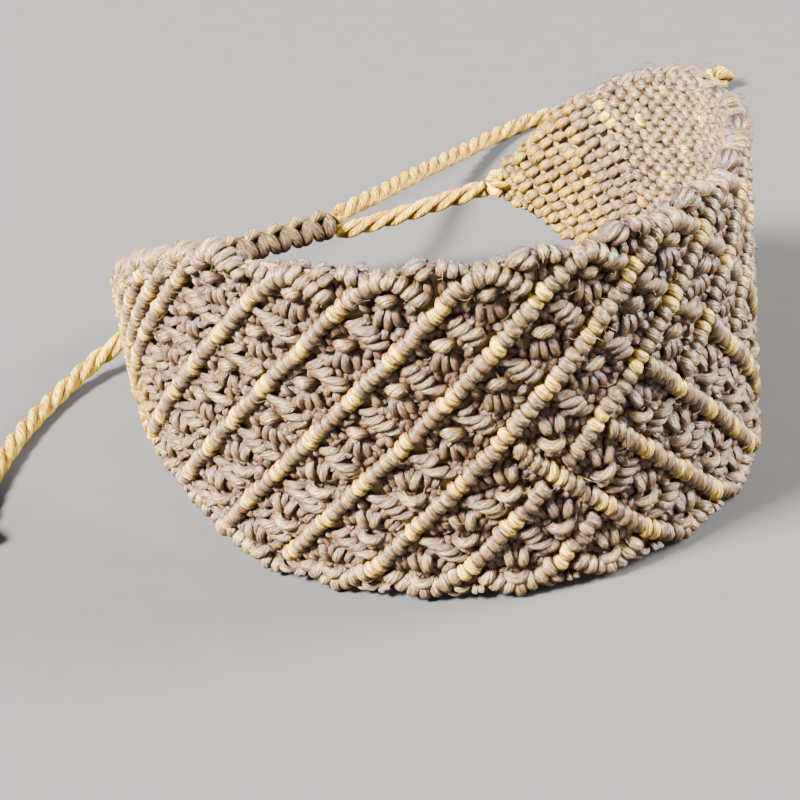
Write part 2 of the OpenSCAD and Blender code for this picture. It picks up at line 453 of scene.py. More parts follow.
net_thread = thread_material("net_thread", plain=(137, 113, 81), accent=(226, 194, 80),
                             gold=(176, 144, 6))
cord_thread = thread_material("cord_thread", plain=(212, 180, 50), accent=(232, 202, 72),
                              roughness=0.55, underside_shade=(208, 182, 108), gloss=0.15)
slider_thread = thread_material("slider_thread", plain=(86, 71, 44), accent=(154, 129, 84),
                                roughness=0.65, gloss=0.15)
print("thread materials:", net_thread.name, cord_thread.name, slider_thread.name)

# %% [markdown]
# Two short cords close the loop, from the points of the band to the sliding knot, and two loose ones
# go on from there, down to the table and along it. A simulation could let them fall, but their
# routes are known: they are the points of the solid model, so each cord lies where its solid lies.
# Only at the sliding knot do the left ones lie a little lower, as its threads leave room.

# %% Cord routes
LEFT_CLOSING = [
    (-20.1, 17, 12), (-17.4, 20.6, 11), (-14.3, 24.2, 10.2), (-11, 27.8, 9.6), (-8.4, 30.7, 9.0),
    (-6.4, 32.4, 8.6)
]
RIGHT_CLOSING = [
    (20.9, 16.4, 11.9), (18.9, 18, 11.2), (16.9, 20.2, 10.2), (14.5, 22.7, 9.1), (12.2, 25, 8.2),
    (10.3, 26.7, 7.6), (9, 27.8, 7.4)
]
LEFT_TAIL = [
    (-6.3, 32.4, 6.8), (-9.9, 32.8, 6.2), (-13.3, 32.1, 4.8), (-16.7, 31.2, 3.1), (-19.8, 31.4, 2),
    (-23.4, 30.4, 1.2), (-27.2, 28.5, 0.95), (-31.4, 25.6, 0.95), (-35.6, 21.9, 0.95),
    (-39.3, 17.9, 0.95), (-42.4, 13.5, 0.95)
]
RIGHT_TAIL = [
    (9, 27.8, 9.2), (11.6, 28.8, 8.9), (14.6, 30.3, 8.2), (17.8, 32.2, 7.3), (23.1, 35.4, 5.9),
    (28.8, 38.7, 4.4), (34.5, 41.7, 3), (40, 44.3, 1.9), (44.2, 45.9, 1.2), (48.5, 46.6, 0.95),
    (52.9, 46.1, 0.95), (57.5, 44.7, 0.95), (62, 42.7, 0.95), (66.2, 40.6, 0.95), (70.3, 38.4, 1.1)
]
SLIDER_LEFT, SLIDER_RIGHT = np.array((-5.6, 32.1, 7.7)), np.array((8.4, 27.9, 8.3))
print("points on the four routes:", len(LEFT_CLOSING + RIGHT_CLOSING + LEFT_TAIL + RIGHT_TAIL))

# %% [markdown]
# Each cord is twisted from three threads. One turn of the twist could be repeated by an array along a
# curve, but it would stretch in the bends. Here each thread's path winds round the route by a
# formula. Three threads of the worked-out radius just touch inside the cord, and each is drawn a
# little fuller than that, because twisted threads press each other flat where they meet.

# %% Twisted cords
CORD_D, CORD_PITCH, PLIES = 1.8, 7.8, 3
PLY_SWELL = 1.12


def unit(vectors):
    return vectors / np.linalg.norm(vectors, axis=-1, keepdims=True)


def across_from(way):
    """Two directions across a way: one that is level and one that points up."""
    side = unit(np.cross(way, (0, 0, 1)))
    return side, np.cross(side, way)


def twist_cord(strands, route, phase=0.0):
    """Lay the threads of one cord round its route, and give back the route in metres."""
    points, run = smooth_route(route, 0.45)
    side, up = across_from(unit(np.gradient(points, axis=0)))
    ply = CORD_D / 2 / (1 + 1 / math.sin(math.pi / PLIES))
    for number in range(PLIES):
        angle = 2 * math.pi * (run / CORD_PITCH + number / PLIES) + phase
        across = np.cos(angle)[:, None] * side + np.sin(angle)[:, None] * up
        strands.lay(points + (CORD_D / 2 - ply) * across, across, ply * PLY_SWELL,
                    tone=0.25 + 0.2 * number)
    return points * MM


def add_cord(name, route, phase=0.0):
    strands = Strands()
    path = twist_cord(strands, route, phase)
    return spin(name, strands, cord_thread, sides=10, spacing=0.45, flatness=1.0), path


left_tail, left_tail_path = add_cord("left_tail_cord_twist", LEFT_TAIL)
right_tail, right_tail_path = add_cord("right_tail_cord_twist", RIGHT_TAIL, 1.0)
left_closing, _ = add_cord("left_closing_cord_twist", LEFT_CLOSING, 0.6)
right_closing, _ = add_cord("right_closing_cord_twist", RIGHT_CLOSING, 2.0)

# %% [markdown]
# The net is worked out on its lattice. Crossings are named by column and row: columns are half a
# diamond apart along the band, rows half a diamond apart downwards. Ridges that rise to the right
# run over the falling ones, except in the lower right of the band, where it is the other way round.

# %% The lattice
CELL, NET_SHIFT, NET_TOP = 8.3, -25.5, 28.1
HALF = CELL / 2
SIDE = HALF * math.sqrt(2)
EDGE_TOP, EDGE_LOW = 30.9, 1.0
STRAIGHT_TO = 35.0
COLUMNS = range(-12, 27)
CREAM_FROM = 55.8
LEFT_NET, RIGHT_NET = -70.6, 69.4


def crossing(column, row):
    """Where two ridges cross, kept within the edges of the band."""
    z = NET_TOP - row * HALF
    return np.array([NET_SHIFT + column * HALF, min(max(z, EDGE_LOW), EDGE_TOP)])


def rising_over(column, row):
    """Whether the rising ridge lies over the falling one at this crossing."""
    return not (column >= 4 and row + (column > 6) >= 4 and (column, row) != (4, 6))


def inside(u, z, margin):
    """Whether a place lies on the band, at least margin from its edges."""
    return low_at(u) + margin <= z <= high_at(u) - margin and abs(u) < TIP_AT - margin


def tone_at(u, z):
    """Deep cream at the two points of the band, taupe elsewhere."""
    return 2.0 if abs(u) > CREAM_FROM + 0.35 * (z - BAND_W / 2) else 0.0


def netted(u, z):
    """Whether the diamonds reach here. Beyond them, ridges lie side by side up to the band's points."""
    return LEFT_NET < u - z and u + z < RIGHT_NET


def growth(u):
    """From 0 at the left of the band to 1 at its right, where all threads are drawn a little fuller."""
    return min(1, max(0, (u + 30) / 60))


print("a diamond is", CELL, "mm high, and each of its sides is", round(SIDE, 2), "mm long")

# %% [markdown]
# A ridge is a row of hitches: one thread lies inside, and the others are wrapped round it in turn.
# One turn could be modelled once and repeated by an array, but real turns differ in slant, size and
# height, so each is drawn as its own arc across the ridge, with small random changes. Under the
# ridges of the net, each turn also shows where its thread comes up from the cell beside it.

# %% One turn of thread
THREAD, RING = 0.58, 0.42
FLAT = 0.78
RIDGE_OUT = -FLAT * THREAD - RING - 0.02
SLANT_SPREAD, SHIFT_SPREAD = 0.19, 0.11
FLANK, FLANK_THICK, FLANK_MISSING = [(0.4, -1.4), (0.8, -0.98), (1.3, -1.12), (1.95, -1.75)], 0.44, 0.3


def wrap(strands, centre, way, lean, tone, ring=RING, rise=RING, thick=THREAD, out=RIDGE_OUT, turn=2.4,
         flank=False, ragged=1):
    """One turn of thread round a ridge. way is the ridge's direction on the flat band, lean is how far
    the turn slants, ring its half width on the band and rise its half depth."""
    across = np.array([-way[1], way[0]])
    angle = np.linspace(-turn, turn, 11)
    slant = math.tan(lean + ragged * sway(SLANT_SPREAD))
    size = ring * chance.uniform(0.93, 1.09)
    lift = chance.uniform(-0.07, 0.05)
    centre = centre + across * ragged * sway(SHIFT_SPREAD)
    flat = np.empty((len(angle), 3))
    flat[:, :2] = centre + np.outer(np.sin(angle) * size, across + way * slant)
    flat[:, 2] = out + lift + np.cos(angle) * rise
    facing = np.stack([np.sin(angle) * across[0], np.sin(angle) * across[1], np.cos(angle)], -1)
    swell = np.cos(0.37 * np.minimum(np.abs(angle), 3.2)) ** 0.7
    sizes = thick * (1 + ragged * chance.uniform(-0.1, 0.06)) * swell
    strands.lay_flat(flat, sizes, tone, facing, "front" if turn < math.pi else "edge")
    for side in (-1, 1) if flank else ():
        if chance.random() < FLANK_MISSING:
            continue
        away = across * side + way * sway(0.7)
        stretch = chance.uniform(0.85, 1.15)
        lower = chance.uniform(-0.1, 0.07)
        path = [(*(centre + away * far * stretch), deep + lower) for far, deep in FLANK]
        strands.lay_leaf(path, FLANK_THICK)


print("a ridge stands", round(2 * RING + THREAD, 2), "mm wide")

# %% [markdown]
# Turns follow each other along a path, evenly spaced over what its two ends leave free. Each takes its
# direction from the path at its own place, so the same function lays the straight sides of a diamond,
# the arches along the edges and the long ridges beside the points.

# %% Turns along a path
PITCH = SIDE / 6


def rope(strands, path, first, last, lean, tone=None, pitch=PITCH, out=RIDGE_OUT, dip=0.0,
         clip=False, **sizes):
    """Turns of thread along a path on the flat band, leaving first and last millimetres free. lean has
    the slant of the turns at the two ends."""
    path = np.asarray(path, float)
    run = np.concatenate([[0], np.cumsum(np.linalg.norm(np.diff(path, axis=0), axis=1))])
    count = max(1, round((run[-1] - last - first) / pitch))
    step = (run[-1] - last - first) / count
    for k in range(count):
        at = first + (k + 0.5) * step
        centre, ahead, behind = (np.array([np.interp(at + d, run, path[:, 0]),
                                           np.interp(at + d, run, path[:, 1])]) for d in (0, 0.2, -0.2))
        if clip and not inside(*centre, 1.0):
            continue
        way = (ahead - behind) / np.linalg.norm(ahead - behind)
        end = abs(2 * (k + 0.5) / count - 1)
        wrap_tone = tone_at(*centre) if tone is None else tone
        wrap_lean = np.interp((k + 0.5) / count, (0, 1), lean)
        wrap(strands, centre, way, wrap_lean, wrap_tone, out=out - dip * end ** 2, **sizes)


print("turns along one side of a diamond:", round(SIDE / PITCH))

# %% [markdown]
# Where a ridge passes over the one that it crosses, it runs up to the crossing, and where it passes
# under, it stops short. One that passes under at both its ends is looser and lies deeper. Two cream
# turns mark each crossing, which gives the front its cream lines.

# %% Ridges of the net
OVER_END, UNDER_END = PITCH, 1.28
OVER_LEAN = {True: 0.26, False: -0.44}
LOOSE = dict(pitch=0.74, out=RIDGE_OUT - 0.14, dip=0.3, rise=0.48, thick=0.45, ragged=1.8)


def ridge_ring(u):
    """Half the width of a ridge at this place along the band."""
    return RING + 0.22 * growth(u)


def ridge_between(strands, start, end, rising):
    """The turns of one side of a diamond, between the crossings at its two ends."""
    a, b = crossing(*start), crossing(*end)
    over = [rising_over(*place) == rising for place in (start, end)]
    ends = [OVER_END if top else UNDER_END for top in over]
    sign = 1 if rising else -1
    middle = (a + b) / 2
    if not netted(*middle):
        return
    clip = abs(middle[0]) > STRAIGHT_TO - HALF
    ring = ridge_ring(middle[0])
    if any(over):
        rope(strands, [a, b], *ends, [OVER_LEAN[rising]] * 2, clip=clip, flank=True, ring=ring,
             thick=THREAD * (1 + 0.12 * growth(middle[0])), ragged=1 + 0.6 * growth(middle[0]))
    else:
        slack = min(1, max(0, start[0] / 14))
        rope(strands, [a, b], *ends, [-sign * (0.66 - 0.3 * slack)] * 2, clip=clip, flank=True,
             ring=0.72 - 0.12 * slack, **LOOSE)


rising_ridges, falling_ridges, cream_pairs = Strands(), Strands(), Strands()
for column in COLUMNS:
    for row in range(0, 7):
        if (column + row) % 2:
            continue
        here = crossing(column, row)
        if inside(*here, 0.8) and netted(*here):
            sign = 1 if rising_over(column, row) else -1
            way = np.array([1, sign]) / math.sqrt(2)
            for side in (-0.5, 0.5):
                wrap(cream_pairs, here + way * side * PITCH, way, OVER_LEAN[sign > 0], 1.0,
                     ring=ridge_ring(here[0]))
        if row < 6:
            ridge_between(falling_ridges, (column, row), (column + 1, row + 1), False)
        if row > 0:
            ridge_between(rising_ridges, (column, row), (column + 1, row - 1), True)
print("cream turns at the crossings:", cream_pairs.count())

# %% [markdown]
# Towards the points of the band there are no more diamonds. Ridges lie side by side there, rising at
# the left end and falling at the right one, and the cream threads cross them in slanting lines. The
# same turn of thread makes them, so the ends and the net look like the work of one hand.

# %% End rows
ROW_STEP = 2.4
POINT_PITCH, POINT_STEP, POINT_THICK = 0.86, 1.05, 0.58
end_rows = Strands()


def end_row(hand, offset):
    """One ridge of an end. Along it, u + z (left end) or u - z (right end) grows by 2 each step."""
    sums = np.arange(-120, 130, PITCH * math.sqrt(2)) + sway(0.2)
    for total in sums:
        u, z = (total + offset) / 2, -hand * (total - offset) / 2
        if not (low_at(u) + 0.7 <= z <= high_at(u) - (0.2 if hand < 0 else 0.7) and abs(u) < TIP_AT - 0.7):
            continue
        start = NET_SHIFT - hand * NET_TOP
        gap = (total - start + CELL / 2) % CELL - CELL / 2
        tone = 1.0 if abs(gap) < PITCH * math.sqrt(2) else tone_at(u, z)
        way = np.array([1, -hand]) / math.sqrt(2)
        wrap(end_rows, np.array([u, z]), way, -0.24 * hand, tone)


def gather(hand):
    """The threads of a point run together, in short bumps, into the knot outside it."""
    for k in range(-3, 4):
        for out, face in ((-0.75, "front"), (-1.85, "back")):
            for part in range(3):
                far = TIP_AT - 1.9 + POINT_STEP * (part + 0.5 * (k % 2))
                narrow = 1 - 0.13 * part
                z = float(middle_at(TIP_AT)) + POINT_PITCH * k * narrow + sway(0.1)
                deep = -1.3 + (out + 1.3) * narrow
                path = [(hand * (far + step), z - 0.12 * k * step, deep + lower * (out + 1.3))
                        for step, lower in ((-0.7, -0.7), (-0.3, 0), (0.3, 0), (0.7, -0.7))]
                end_rows.lay_leaf(path, POINT_THICK, 2.0, face, tip=0.5)


gather(-1)
gather(1)
for step in range(1, 20):
    end_row(-1, LEFT_NET + 0.4 - step * ROW_STEP)
    end_row(1, RIGHT_NET - 0.4 + step * ROW_STEP)
print("threads in the two ends:", end_rows.count())

# %% [markdown]
# Along both edges the ridges turn back in low arches, and between two arches a small knot fills the
# notch. It is the same few threads each time, so they are a short table of points, laid again at
# every notch with small changes, on the front and on the back, and the first two also in between.

# %% The small knot of the edge
NOTCH_TOP, NOTCH_LOW, LOWER_SIZE = 31.75, 1.0, 0.66
edge_ridges = Strands()
CREST = [
    # thickness, then points: right, up, out
    (0.45, [(-2.6, -0.9, -1.5), (-1.9, -0.2, -0.8), (-1.1, 0.3, -0.75), (-0.5, 0.35, -1.2)]),
    (0.45, [(-1.8, -1.2, -1.4), (-1.2, -0.65, -0.6), (-0.4, -0.15, -0.55), (0.2, -0.2, -1.1)]),
    (0.44, [(2.8, -1.2, -1.5), (2.4, -0.75, -0.95), (2.1, -0.35, -0.95), (1.8, -0.1, -1.4)]),
    (0.42, [(-0.6, -0.9, -1.3), (-0.55, -1.6, -1.0), (-0.5, -2.2, -1.1), (-0.45, -2.9, -1.6)]),
    (0.42, [(0.35, -0.9, -1.3), (0.4, -1.6, -1.0), (0.45, -2.2, -1.1), (0.4, -2.9, -1.6)]),
    (0.42, [(-1.6, -1.5, -1.6), (-1.3, -1.9, -1.2), (-1.1, -2.4, -1.3), (-0.9, -2.9, -1.7)]),
    (0.42, [(1.5, -1.1, -1.5), (1.3, -1.7, -1.15), (1.2, -2.3, -1.25), (1.0, -2.8, -1.7)]),
]


def edge_fill(strands, column, upward):
    """The knot in the notch between two arches. The lower edge is pressed flat by the table."""
    u = crossing(column, 0)[0]
    lower = 1.2 * max(0, (abs(u) - 18) / 17)
    z, flip, size = (NOTCH_TOP - lower, 1, 1.0) if upward else (NOTCH_LOW, -1, LOWER_SIZE)
    for side, drop in ((0.62, 0.0), (1.45, 0.28)):
        wrap(strands, np.array([u + side * size, z - flip * drop * size]), np.array([1.0, 0.0]), 0.06, 0.0,
             ring=0.30 * size, rise=0.75, turn=math.pi, out=-1.25, thick=0.5 * size)
    for number, (thick, points) in enumerate(CREST):
        points = np.array(points) * (1, flip * size, 1) + (u, z, 0)
        points[:, :2] += [sway(0.12) for _ in "uz"]
        strands.lay_leaf(points, thick * size)
        strands.lay_leaf(points * (1, 1, -1) - (0, 0, WALL), thick * size, face="back")
        if number < 2:
            points[:, 1] += flip * 0.1 * size
            points[:, 2] = -WALL / 2
            strands.lay_leaf(points, thick * size, face="edge")


print("threads in one small knot:", len(CREST))

# %% [markdown]
# An arch is one path for the turns: up from a crossing, over a rounded top and down to the next one.
# A power of the distance from the top makes it rounder than a straight roof and flatter than a
# circle. Where the band narrows towards its points, one long ridge follows each edge instead, and at
# the upper left a few thick heads stand where the ridges run into it.

# %% Edges
ROUNDNESS = 1.35
ARCH_OUT = -1.24
HEAD = [(-1.3, -1.4), (-0.6, -0.5), (0.1, 0.0), (0.9, 0.05), (1.6, -0.5), (1.9, -1.1)]
HEADS_AT = (-37.9, -41.6, -45.2, -48.8, -52.6)


def arch(strands, column, row, apex_row):
    """One arch from a crossing to the next one of its row."""
    a = crossing(column, row)
    apex = crossing(column + 1, apex_row)
    t = np.linspace(-1, 1, 21)
    path = np.stack([apex[0] + t * HALF, apex[1] + (a[1] - apex[1]) * np.abs(t) ** ROUNDNESS], -1)
    rising_first = apex_row < row
    start_over = rising_over(column, row) == rising_first
    end_over = rising_over(column + 2, row) != rising_first
    sign = 1 if rising_first else -1
    lean = (sign * (0.24 if start_over else -0.5), -sign * (0.24 if end_over else -0.5))
    rope(strands, path, OVER_END if start_over else UNDER_END, OVER_END if end_over else UNDER_END, lean,
         pitch=0.98, turn=math.pi, ring=0.5, rise=0.75, out=ARCH_OUT)


for column in COLUMNS:
    u = crossing(column, 0)[0]
    if column % 2 == 0:
        if abs(u) < STRAIGHT_TO and abs(u + CELL) < STRAIGHT_TO + 3:
            arch(edge_ridges, column, 0, -1)
            arch(edge_ridges, column, 6, 7)
        if abs(u) < STRAIGHT_TO + 1:
            edge_fill(edge_ridges, column, True)
            edge_fill(edge_ridges, column, False)

for u in HEADS_AT:
    path = np.array(HEAD) + (u, high_at(u) + 0.1)
    rope(edge_ridges, path, 0.0, 0.0, (0.1, 0.1), pitch=0.62, turn=math.pi, ring=0.62, rise=0.95, out=-1.25,
         thick=0.46)
upper_end = np.array([crossing(-4, 0), crossing(-4, 0) + 2.9])
rope(rising_ridges, upper_end, OVER_END, 0.0, (0.26, 0.26), tone=0.0, flank=True)

for hand in (-1, 1):
    for edge, step in ((high_at, -1.1), (low_at, 1.1)):
        starts = 51.0 if hand < 0 and step < 0 else STRAIGHT_TO
        along = np.linspace(starts, TIP_AT - 0.6, 30)
        path = np.stack([hand * along, edge(along) + step], -1)
        rope(edge_ridges, path, 0.3, 0.2, (0.2 * hand, 0.2 * hand), pitch=1.12, turn=math.pi,
             out=ARCH_OUT, rise=0.75, ring=0.32, ragged=3)
print("threads along the edges:", edge_ridges.count())

# %% [markdown]
# Each diamond holds a square knot. In the upper rows its round loop lies on top, with the threads
# it holds spreading below. In the lower rows the threads come first and the loop curves under them
# like a smile. Each thread is a few points in the diamond's own flat coordinates. A knot could be
# modelled as one long closed thread, but only its visible arcs matter, and they are easier to place.

# %% Two square knots
SMILE = [
    # thickness, then points: right, up, out
    (0.48, [(-0.95, 1.8, -1.7), (-0.78, 1.2, -0.88), (-0.48, 0.3, -0.6), (-0.2, -0.7, -1.4)]),
    (0.48, [(0.95, 1.7, -1.7), (0.78, 1.15, -0.88), (0.48, 0.3, -0.6), (0.2, -0.7, -1.4)]),
    (0.36, [(0.0, 1.8, -1.7), (0.02, 1.1, -1.0), (0.0, 0.3, -0.95), (0.0, -0.6, -1.5)]),
    (0.56, [(-1.2, -0.45, -1.6), (-0.78, -0.9, -0.72), (0.0, -1.12, -0.45), (0.78, -0.95, -0.72),
            (1.2, -0.5, -1.6)]),
    (0.40, [(-1.9, 1.4, -1.85), (-1.65, 0.8, -1.1), (-1.35, 0.1, -1.05), (-1.15, -0.5, -1.7)]),
    (0.40, [(1.9, 1.3, -1.85), (1.65, 0.7, -1.1), (1.35, 0.1, -1.05), (1.15, -0.5, -1.7)]),
    (0.40, [(-2.7, 0.5, -1.8), (-2.2, 0.25, -1.1), (-1.85, -0.25, -1.05), (-1.6, -0.9, -1.7)]),
    (0.40, [(2.7, 0.5, -1.8), (2.2, 0.25, -1.1), (1.85, -0.25, -1.05), (1.6, -0.9, -1.7)]),
    (0.38, [(-1.9, -0.8, -1.7), (-1.45, -1.2, -1.05), (-1.05, -1.6, -1.1), (-0.75, -2.1, -1.7)]),
    (0.38, [(1.9, -0.8, -1.7), (1.45, -1.2, -1.05), (1.05, -1.6, -1.1), (0.75, -2.1, -1.7)]),
    (0.42, [(-0.8, -1.6, -1.6), (-0.3, -1.9, -0.95), (0.3, -2.0, -0.95), (0.8, -1.85, -1.6)]),
    (0.38, [(-1.6, 1.5, -1.7), (-1.0, 2.0, -1.2), (-0.3, 2.5, -1.7)]),
    (0.38, [(1.7, 1.4, -1.7), (1.0, 2.0, -1.2), (0.3, 2.5, -1.7)]),
]
BUMP = [
    (0.66, [(-1.0, 0.55, -1.6), (-0.62, 0.95, -0.8), (0.0, 1.05, -0.62), (0.62, 0.95, -0.8),
            (1.0, 0.55, -1.6)]),
    (0.42, [(-0.6, 0.5, -1.6), (-0.75, -0.2, -0.95), (-0.95, -1.1, -0.95), (-1.25, -1.9, -1.7)]),
    (0.42, [(-0.05, 0.4, -1.6), (-0.05, -0.4, -0.95), (-0.1, -1.3, -1.0), (-0.2, -2.2, -1.7)]),
    (0.40, [(0.5, 0.5, -1.6), (0.62, -0.2, -1.0), (0.8, -1.1, -1.0), (1.0, -1.9, -1.7)]),
    (0.38, [(-2.7, 0.9, -1.8), (-2.2, 0.6, -1.0), (-1.75, 0.0, -0.95), (-1.6, -0.7, -1.7)]),
    (0.38, [(2.7, 0.8, -1.8), (2.2, 0.6, -1.0), (1.75, 0.0, -0.95), (1.6, -0.7, -1.7)]),
    (0.34, [(-2.1, 0.0, -1.8), (-1.9, -0.5, -1.1), (-1.6, -1.0, -1.1), (-1.3, -1.5, -1.8)]),
    (0.34, [(2.1, 0.0, -1.8), (1.9, -0.5, -1.1), (1.6, -1.0, -1.1), (1.3, -1.5, -1.8)]),
    (0.38, [(-1.9, 0.9, -1.8), (-1.3, 1.5, -1.1), (-0.5, 2.0, -1.2), (0.0, 2.3, -1.7)]),
    (0.38, [(1.9, 0.9, -1.8), (1.3, 1.5, -1.15), (0.6, 2.0, -1.25), (0.1, 2.4, -1.7)]),
    (0.34, [(-1.0, -1.3, -1.7), (-0.5, -1.75, -1.15), (-0.1, -2.3, -1.2), (0.1, -2.8, -1.8)]),
    (0.34, [(1.2, -1.2, -1.7), (0.8, -1.8, -1.15), (0.5, -2.3, -1.2), (0.2, -2.8, -1.8)]),
]
print("threads in a knot of the lower rows:", len(SMILE), "and of the upper rows:", len(BUMP))

# %% [markdown]
# Every diamond gets a copy of one of the two knots, mirrored by chance and turned a little, and each
# of its threads is moved and turned on its own as well, so no two cells are alike. Many short, thin
# threads lie deeper, between the knot and its ridges, where a real cell is never empty.

# %% Square knots
square_knots, fillers = Strands(), Strands()
KNOT_SCALE, KNOT_SPREAD = 0.92, 1.06
LOOP_FROM, LOOP_HIGHLIGHT_TONE = 0.5, 0.12
FILLERS, FILLER_THICK = 32, 0.33


def turned(points, angle):
    """Flat points turned round the origin."""
    cos, sin = math.cos(angle), math.sin(angle)
    return points @ np.array([[cos, sin], [-sin, cos]])


def lay_knot(strands, pattern, centre):
    """The knot of one diamond, and the short threads under it."""
    mirror = chance.choice((-1, 1))
    tilt = sway(0.12)
    for thick, points in pattern:
        flat = np.array(points)
        flat[:, 0] *= mirror
        flat[:, :2] *= KNOT_SPREAD
        own = flat[:, :2].mean(0)
        flat[:, :2] = turned(flat[:, :2] - own, sway(0.22)) + own
        flat[:, :2] = centre + turned(flat[:, :2], tilt) + [sway(0.1) for _ in "uz"]
        flat[:, 2] += chance.uniform(-0.1, 0.08)
        middle = flat[len(flat) // 2]
        if not inside(middle[0], middle[1], 1.2):
            continue
        # The loop lies on top of the knot and is drawn a little paler, a painted highlight.
        tone = max(LOOP_HIGHLIGHT_TONE if thick > LOOP_FROM else 0.0, tone_at(*centre))
        strands.lay_leaf(flat, KNOT_SCALE * thick * chance.uniform(0.95, 1.12), tone)
    for _ in range(FILLERS):
        angle, far = chance.uniform(0, 2 * math.pi), chance.uniform(0.4, 3.1)
        heart = centre + far * np.array([math.cos(angle), math.sin(angle)])
        bearing = angle + sway(0.5)
        reach = chance.uniform(0.65, 1.1) * np.array([math.cos(bearing), math.sin(bearing)])
        if inside(*heart, 1.6):
            top = chance.uniform(-1.35, -1.1)
            fillers.lay_leaf([(*(heart - reach), -1.75), (*(heart - reach / 2), top),
                              (*(heart + reach / 2), top), (*(heart + reach), -1.7)], FILLER_THICK)


def smiling(column, row):
    """Whether the knot of this diamond has its loop below."""
    return row >= 4 or (row == 3 and column >= 4)


for column in COLUMNS:
    for row in range(-1, 8):
        centre = np.array([NET_SHIFT + column * HALF, NET_TOP - row * HALF])
        if (column + row) % 2 and inside(*centre, 0.5) and netted(*centre):
            lay_knot(square_knots, SMILE if smiling(column, row) else BUMP, centre)
print("threads in the knots:", square_knots.count(), "and under them:", fillers.count())

# %% [markdown]
# The inner face is plainer: each thread that crosses to the next ridge shows there as a short bump,
# and the bumps stand in slanting rows. Cream threads come through where ridges cross. A bumpy
# material would look smooth along the edge of the band, so every bump is a short thread of its own.

# %% Inner face
back_bumps = Strands()
ROWS_PER_SIDE, BUMPS_PER_SIDE = 4, 5
BUMP_THICK, BUMP_MARGIN = 0.55, 0.75
BACK_ENDS = 46.5


def back_bump(u, z, tone, lean=0.42, half=0.66):
    """One short thread on the inner face, half its length to each side."""
    lean += sway(0.3)
    half += chance.uniform(-0.1, 0.08)
    u, z = u + sway(0.1), z + sway(0.1)
    flat = [(u + far * half, z + far * half * lean, deep) for far, deep in
            ((-1.1, -1.7), (-0.6, -2.1), (0.6, -2.1), (1.1, -1.7))]
    flat = np.array(flat) + (0, 0, sway(0.1))
    thick = BUMP_THICK + chance.uniform(-0.06, 0.05)
    back_bumps.lay_flat(flat, [0.5 * thick, thick, thick, 0.5 * thick], tone, face="back")


def back_end(u, z):
    """Whether this place of the inner face belongs to an end of the band."""
    return abs(u) - 0.5 * (z - BAND_W / 2) > BACK_ENDS


def lay_inner_face():
    """Bumps in slanting rows, on a lattice that fits the diamonds of the net."""
    for p in range(-90, 91):
        for q in range(-90, 91):
            rising, falling = p * SIDE / BUMPS_PER_SIDE, (q + 0.5 * (p % 2)) * SIDE / ROWS_PER_SIDE
            u = NET_SHIFT + (rising + falling) / math.sqrt(2)
            z = NET_TOP + (rising - falling) / math.sqrt(2)
            if not inside(u, z, BUMP_MARGIN) or back_end(u, z):
                continue
            near = p % BUMPS_PER_SIDE == 0 and q % ROWS_PER_SIDE == 0
            back_bump(u, z, max(tone_at(u, z), 0.9 if near else 0.0))


lay_inner_face()
print("bumps on the inner face:", back_bumps.count())

# %% [markdown]
# At the ends of the band, behind the ridges that lie side by side, the bumps of the inner face are
# longer and stand in parted rows. A few cream ones stand out there, at listed places.

# %% Ends of the inner face
END_PITCH, END_ROWS, END_AT = 1.12, 1.95, 52
SPOT_REACH, GOLD_REACH = 1.2, 2.2
CREAM_SPOTS = [(52, 26), (51, 24.3), (50, 22.5), (47.5, 21), (46, 27.5), (46.5, 26), (48.5, 11), (46, 9)]


def lay_inner_end(hand):
    """The parted rows of one end, left (-1) or right (1)."""
    for row in range(-30, 31):
        for k in range(-60, 61):
            along, across = END_PITCH * (k + 0.5 * (row % 2)), END_ROWS * row
            u = (along + across) / math.sqrt(2) + hand * END_AT
            z = BAND_W / 2 + (along - across) / math.sqrt(2)
            if hand * u < 0 or not back_end(u, z) or not inside(u, z, BUMP_MARGIN):
                continue
            spot = min(math.hypot(hand * u - a, z - b) for a, b in CREAM_SPOTS)
            u, z = u + sway(0.16), z + sway(0.16)
            tone = max(tone_at(u + GOLD_REACH * hand, z), 1.0 if spot < SPOT_REACH else 0.0)
            back_bump(u, z, tone, lean=-0.6, half=0.72)


lay_inner_end(-1)
lay_inner_end(1)
print("and with those of the ends:", back_bumps.count())

# %% [markdown]
# A few fibres have worked loose from the threads and stand off the surface as fine curls. Hair
# particles could make them, but a few hundred hair-thin threads from the same spinner are already
# plain mesh. They lie all over the outer face, and two in five stand up along its upper edge.

# %% Loose fibres
FIBRES, FIBRE_R = 420, 0.024
EDGE_SHARE = 0.4
loose_fibres = Strands()


def lay_fibre():
    """One loose fibre: a flat curl that rises a little off the threads."""
    u = sway(60)
    edge = chance.random() < EDGE_SHARE
    z = high_at(u) - 0.3 if edge else low_at(u) + 1.5 + chance.random() * (width_at(u) - 2.5)
    bearing, bow = chance.uniform(0, 2 * math.pi), sway(0.6)
    length = chance.uniform(0.7, 1.4) if edge else chance.uniform(0.9, 2.4)
    lift = chance.uniform(0.25, 0.7)
    path = []
    for t in (0.0, 0.25, 0.5, 0.75, 1.0):
        angle = bearing + bow * t * 2
        rise = -0.35 + lift * math.sin(math.pi * min(1, 1.2 * t))
        path.append((u + length * t * math.cos(angle), z + length * t * math.sin(angle) * 0.7, rise))
    if low_at(path[-1][0]) + 0.5 < path[-1][1]:
        loose_fibres.lay_flat(path, FIBRE_R, chance.choice((0.0, 0.6)))


for _ in range(FIBRES):
    lay_fibre()
print("loose fibres:", loose_fibres.count())

# %% [markdown]
# Behind the knots a thin wall closes the view through the gaps, as the carrying threads do on the
# real band; its dark brown is thread in painted shade. It could be a sheet with a Solidify modifier.
# Here both of its faces are drawn as one ring of points at each step along the band, so it is a
# closed solid from the start.

